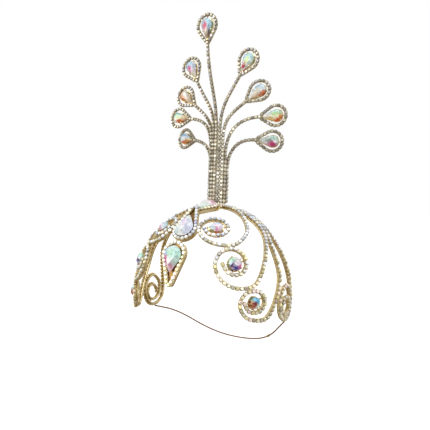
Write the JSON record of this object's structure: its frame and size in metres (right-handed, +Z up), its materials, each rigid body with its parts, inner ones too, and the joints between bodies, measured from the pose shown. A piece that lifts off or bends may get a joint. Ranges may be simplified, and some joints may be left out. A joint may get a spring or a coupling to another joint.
{
  "type": "rhinestone headpiece",
  "caption": "Gold wire headpiece: scrolls of crystal cup chain over the head, pear-cut stones down the forehead, a tall plume of stone-set loops and an elastic at the nape.",
  "frame": {"origin": "seat on top of the wearer's head, under the crown plate", "axes": "+Z up, the wearer faces -Y, the wearer's left is +X"},
  "size_m": [0.1878, 0.1807, 0.4036],
  "materials": {
    "gold_metal": "polished gold plating",
    "frame_crystal_chain": "faceted crystal with an iridescent coat, in gold cups",
    "plume_crystal_chain": "faceted crystal with an iridescent coat, in gold cups",
    "crystal_stone": "pear and round cut crystal with an iridescent coat",
    "elastic": "covered elastic cord"
  },
  "bodies": {
    "root": {"centre_frame": "gold_metal", "cord_crimp": "gold_metal", "drop_border": "frame_crystal_chain", "drop_stone": "crystal_stone", "elastic_cord": "elastic", "middle_border": "frame_crystal_chain", "middle_stone": "crystal_stone", "plume_chain_centre": "plume_crystal_chain", "plume_chain_left_1": "plume_crystal_chain", "plume_chain_left_2": "plume_crystal_chain", "plume_chain_left_3": "plume_crystal_chain", "plume_chain_left_4": "plume_crystal_chain", "plume_chain_right_1": "plume_crystal_chain", "plume_chain_right_2": "plume_crystal_chain", "plume_chain_right_3": "plume_crystal_chain", "plume_chain_right_4": "plume_crystal_chain", "plume_ring_chain": "plume_crystal_chain", "plume_stem_centre": "gold_metal", "plume_stem_left_1": "gold_metal", "plume_stem_left_2": "gold_metal", "plume_stem_left_3": "gold_metal", "plume_stem_left_4": "gold_metal", "plume_stem_right_1": "gold_metal", "plume_stem_right_2": "gold_metal", "plume_stem_right_3": "gold_metal", "plume_stem_right_4": "gold_metal", "plume_stone_centre": "crystal_stone", "plume_stone_left_1": "crystal_stone", "plume_stone_left_2": "crystal_stone", "plume_stone_left_3": "crystal_stone", "plume_stone_left_4": "crystal_stone", "plume_stone_right_1": "crystal_stone", "plume_stone_right_2": "crystal_stone", "plume_stone_right_3": "crystal_stone", "plume_stone_right_4": "crystal_stone", "scroll_chain_a_left": "frame_crystal_chain", "scroll_chain_a_right": "frame_crystal_chain", "scroll_chain_b_left": "frame_crystal_chain", "scroll_chain_b_right": "frame_crystal_chain", "scroll_chain_c_left": "frame_crystal_chain", "scroll_chain_c_right": "frame_crystal_chain", "scroll_chain_d_left": "frame_crystal_chain", "scroll_chain_d_right": "frame_crystal_chain", "scroll_stone_a_left": "crystal_stone", "scroll_stone_a_right": "crystal_stone", "scroll_stone_b_left": "crystal_stone", "scroll_stone_b_right": "crystal_stone", "scroll_stone_c_left": "crystal_stone", "scroll_stone_c_right": "crystal_stone", "scroll_wire_a_left": "gold_metal", "scroll_wire_a_right": "gold_metal", "scroll_wire_b_left": "gold_metal", "scroll_wire_b_right": "gold_metal", "scroll_wire_c_left": "gold_metal", "scroll_wire_c_right": "gold_metal", "scroll_wire_d_left": "gold_metal", "scroll_wire_d_right": "gold_metal", "top_border": "frame_crystal_chain", "top_stone": "crystal_stone"}
  },
  "joints": []
}
